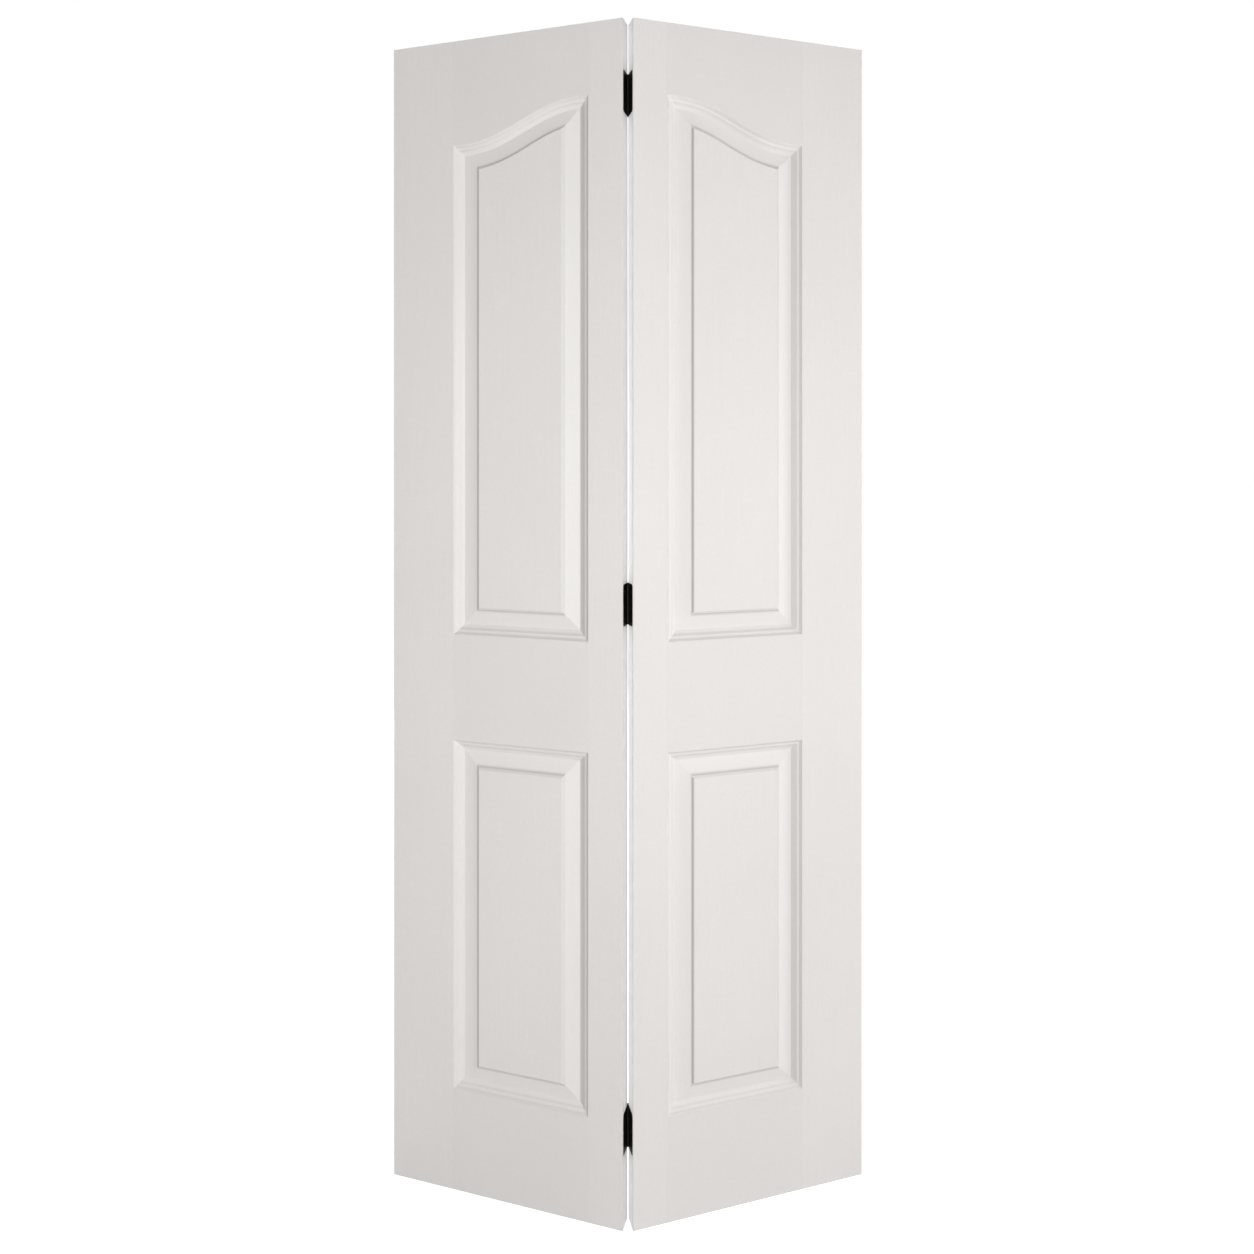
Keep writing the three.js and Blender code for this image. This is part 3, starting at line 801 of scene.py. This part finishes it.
def hinge_plate(first_knuckle):
    """One plate about the hinge's middle, as points and faces in the leaf's axes: the flat plate
    with its own knuckles joined on, and the other plate's knuckles, the pin's bore and the screws'
    seats cut away."""
    pitch = hinge_height / knuckle_count
    joined, removed = [], []
    for knuckle in range(knuckle_count):
        own = knuckle % 2 == first_knuckle
        inset = knuckle_gap / 2 if own else -knuckle_gap / 2
        low = knuckle * pitch - hinge_height / 2 + (inset if knuckle > 0 else 0)
        above = inset if knuckle + 1 < knuckle_count else 0
        high = (knuckle + 1) * pitch - hinge_height / 2 - above
        if own:
            joined.append(plain_rod(knuckle_radius, low, high, knuckle_steps))
            root = -knuckle_radius - plate_thickness
            arm = [
                (meeting_edge, root), (knuckle_radius, root), (knuckle_radius, 0), (meeting_edge, 0),
            ]
            joined.append(blank_solid(prism(arm, low, high)))
        else:
            scoop = knuckle_radius + knuckle_clearance
            removed.append(plain_rod(scoop, low, high, knuckle_steps))
    removed.append(plain_rod(pin_radius + pin_clearance, -hinge_height, hinge_height, pin_steps))
    head = screw_head_radius + head_clearance
    shank = screw_shank_radius + head_clearance
    seat = [
        (0, -cut_overrun), (head, -cut_overrun), (head, screw_rim_height),
        (shank, screw_head_depth), (shank, 2 * screw_head_depth), (0, 2 * screw_head_depth),
    ]
    for v, z in screw_places():
        removed.append(blank_solid(turned(seat, screw_steps), (meeting_edge, v, z), along_leaf))
    flat = prism(plate_outline(), meeting_edge, knuckle_radius)
    return carved(blank_solid(flat, axes=along_leaf), joined, removed)


def hinge_screw():
    """A countersunk screw along +u with a tapered cross recess, as points and faces. The cross is
    one arm's three points, turned by quarter turns: x cos f - y sin f, x sin f + y cos f."""
    length = leaf_box("middle_hinge_right_screw_1")[1][0] - meeting_edge
    rim = screw_rim_height
    chamfer = rim / rim_chamfer_parts
    profile = [
        (0, 0), (screw_head_radius - chamfer, 0), (screw_head_radius, chamfer),
        (screw_head_radius, rim), (screw_shank_radius, screw_head_depth),
        (screw_shank_radius, length - screw_tip_length), (0, length),
    ]
    arm, half = recess_arm / 2, recess_width / 2
    quarter = np.array([(arm, -half), (arm, half), (half, half)])
    cross = np.concatenate([
        quarter @ np.array([(math.cos(turn), math.sin(turn)), (-math.sin(turn), math.cos(turn))])
        for turn in np.arange(4) * math.pi / 2
    ])
    recess = prism(cross, -cut_overrun, recess_depth, recess_floor_share)
    shank = blank_solid(turned(profile, screw_steps), axes=along_leaf)
    return carved(shank, [], [blank_solid(recess, axes=along_leaf)])


def hinge_pin():
    """A fast pin, flush with the barrel, its ends chamfered."""
    end = hinge_height / 2
    inner = pin_radius - pin_chamfer
    profile = [
        (0, -end), (inner, -end), (pin_radius, pin_chamfer - end),
        (pin_radius, end - pin_chamfer), (inner, end), (0, end),
    ]
    return turned(profile, pin_steps)


def black_metal(name, dark, light, roughness, grit, gloss):
    """Satin black on steel: a slightly brown black, clouded in sheen, on a faintly gritty face."""
    material, tree, shader = start_material(name)
    shader.inputs["Specular IOR Level"].default_value = gloss
    clouds = object_noise(tree, stretch=(1, 1, 1), size=220, detail=4)
    tone = spread_tones(tree, clouds, dark, light, low=0.35, high=0.65)
    tree.links.new(tone, shader.inputs["Base Color"])
    smoothest, roughest = roughness - black_smoother, roughness + black_rougher
    sheen = ranged(tree, clouds, To_Min=smoothest, To_Max=roughest)
    tree.links.new(sheen, shader.inputs["Roughness"])
    peel = object_noise(tree, stretch=(1, 1, 1), size=1500, detail=2)
    emboss(tree, shader, peel, strength=grit, distance=0.0001)
    return material


def add_metal(name, solid, place, side, body, material, node):
    """One hinge piece from points in the leaf's axes, turned round for the left leaf."""
    points, faces = solid
    standing = stand_leaf(points + np.array(place), side)
    mesh = new_mesh(name, standing, faces if side > 0 else faces[:, ::-1])
    mesh.set_sharp_from_angle(angle=metal_crease)
    add_piece(name, mesh, body, [material], [node])


plate_black = black_metal(
    "black_enamel", dark=(0.0026, 0.0022, 0.0018), light=(0.0072, 0.0058, 0.0046),
    roughness=0.46, grit=0.6, gloss=0.18,
)
screw_black = black_metal(
    "black_phosphate", dark=(0.0060, 0.0052, 0.0044), light=(0.0130, 0.0110, 0.0090),
    roughness=0.54, grit=0.5, gloss=0.2,
)
pin_black = black_metal(
    "black_worn_steel", dark=(0.0070, 0.0054, 0.0042), light=(0.0180, 0.0130, 0.0095),
    roughness=0.42, grit=0.3, gloss=0.2,
)
screw, pin = hinge_screw(), hinge_pin()
plates = {"left": hinge_plate(0), "right": hinge_plate(1)}
for hinge, centre in zip(hinge_names, hinge_centres):
    for leaf, side in leaf_sides.items():
        body = f"{leaf}_leaf"
        plate_name, plate_node = f"{hinge}_{leaf}_butt_plate", f"{hinge}_hinge_{leaf}_plate"
        place = (0, 0, centre)
        add_metal(
            plate_name, plates[leaf], place, side, body, plate_black, plate_node
        )
        for i, (v, z) in enumerate(screw_places()):
            place = (meeting_edge, v, centre + z)
            screw_name = f"{hinge}_{leaf}_plate_screw_{i + 1}"
            screw_node = f"{hinge}_hinge_{leaf}_screw_{i + 1}"
            add_metal(
                screw_name, screw, place, side, body, screw_black, screw_node
            )
    place = (0, 0, centre)
    pin_name, pin_node = f"{hinge}_barrel_pin", f"{hinge}_hinge_pin"
    add_metal(pin_name, pin, place, 1, "left_leaf", pin_black, pin_node)

# Camera and studio
# A level camera in front of the fold, a pale floor under a white sky, and soft lamps in front, to
# the right, at the right-hand side, behind and overhead, all but the last at mid height.

photo_size = 1254
focal_pixels = 887
horizon_pixel = 459
fold_pixel = 627.9
camera_distance = 1.466
camera_height = 1.277
sensor_width = 36

fold_front = stand_leaf((meeting_edge, front_face, 0), 1)[1]
camera_data = bpy.data.cameras.new("camera")
camera_data.sensor_width = sensor_width
camera_data.lens = sensor_width * focal_pixels / photo_size
camera_data.shift_x = (photo_size / 2 - fold_pixel) / photo_size
camera_data.shift_y = (horizon_pixel - photo_size / 2) / photo_size
camera = bpy.data.objects.new("camera", camera_data)
camera.location = (0, fold_front - camera_distance, camera_height)
camera.rotation_euler = (math.pi / 2, 0, 0)
bpy.context.scene.collection.objects.link(camera)
bpy.context.scene.camera = camera


def seen_directly(tree):
    """1 for rays from the camera, a mirror or glass, and 0 for those that carry light."""
    path = add_node(tree, "ShaderNodeLightPath")
    seen = path.outputs["Is Camera Ray"]
    for other in ("Is Glossy Ray", "Is Transmission Ray"):
        seen = worked_out(tree, "MAXIMUM", seen, path.outputs[other])
    return seen


floor_reach = 40
floor_tone, floor_roughness, floor_glow = 0.6, 0.9, 0.90
floor_corners = floor_reach * np.array([(-1, -1, 0), (1, -1, 0), (1, 1, 0), (-1, 1, 0)])
floor = bpy.data.objects.new("floor", new_mesh("floor", floor_corners, np.array([[0, 1, 2, 3]])))
bpy.context.scene.collection.objects.link(floor)
floor_material, floor_tree, floor_shader = start_material("pale_floor")
floor_shader.inputs["Base Color"].default_value = (floor_tone, floor_tone, floor_tone, 1)
floor_shader.inputs["Roughness"].default_value = floor_roughness
floor_shader.inputs["Specular IOR Level"].default_value = 0
floor_shader.inputs["Emission Color"].default_value = (1, 1, 1, 1)
glow = worked_out(floor_tree, "MULTIPLY", seen_directly(floor_tree), floor_glow)
floor_tree.links.new(glow, floor_shader.inputs["Emission Strength"])
floor.data.materials.append(floor_material)

sky_light, sky_seen = 0.20, 1.0
world = bpy.data.worlds.new("studio")
bpy.context.scene.world = world
world.use_nodes = True
sky_tree = world.node_tree
sky = sky_tree.nodes["Background"]
seen = seen_directly(sky_tree)
strength = add_node(
    sky_tree, "ShaderNodeMix", {"data_type": "FLOAT"}, _0=seen, _2=sky_light, _3=sky_seen
).outputs[0]
sky_tree.links.new(strength, sky.inputs["Strength"])
sky.inputs["Color"].default_value = (1, 1, 1, 1)

lamp_size = (0.7, 1.0)
lamp_height, lamp_distance = 1.22, 3.3

# Each lamp's name, its degrees round from the front toward the right, and its power
lamps_round_door = (("front", -13, 55), ("right", 42, 28), ("side", 89, 27), ("back", 200, 46))
top_lamp_place, top_lamp_power = (0, 0.9, 3.2), 20


def add_lamp(name, place, target, power):
    """A rectangular area lamp at a place, facing a target."""
    data = bpy.data.lights.new(name, "AREA")
    data.shape = "RECTANGLE"
    data.size, data.size_y = lamp_size
    data.energy = power
    lamp = bpy.data.objects.new(name, data)
    aim = np.subtract(target, place)
    lamp.location = place
    tip = math.acos(-aim[2] / np.linalg.norm(aim))
    lamp.rotation_euler = (tip, 0, math.atan2(-aim[0], aim[1]))
    bpy.context.scene.collection.objects.link(lamp)


for name, azimuth, power in lamps_round_door:
    turn = math.radians(azimuth)
    place = (lamp_distance * math.sin(turn), -lamp_distance * math.cos(turn), lamp_height)
    add_lamp(f"{name}_softbox", place, (0, 0, lamp_height), power)
add_lamp("top_softbox", top_lamp_place, (0, 0, leaf_height), top_lamp_power)

scene = bpy.context.scene
scene.view_settings.view_transform = "Standard"
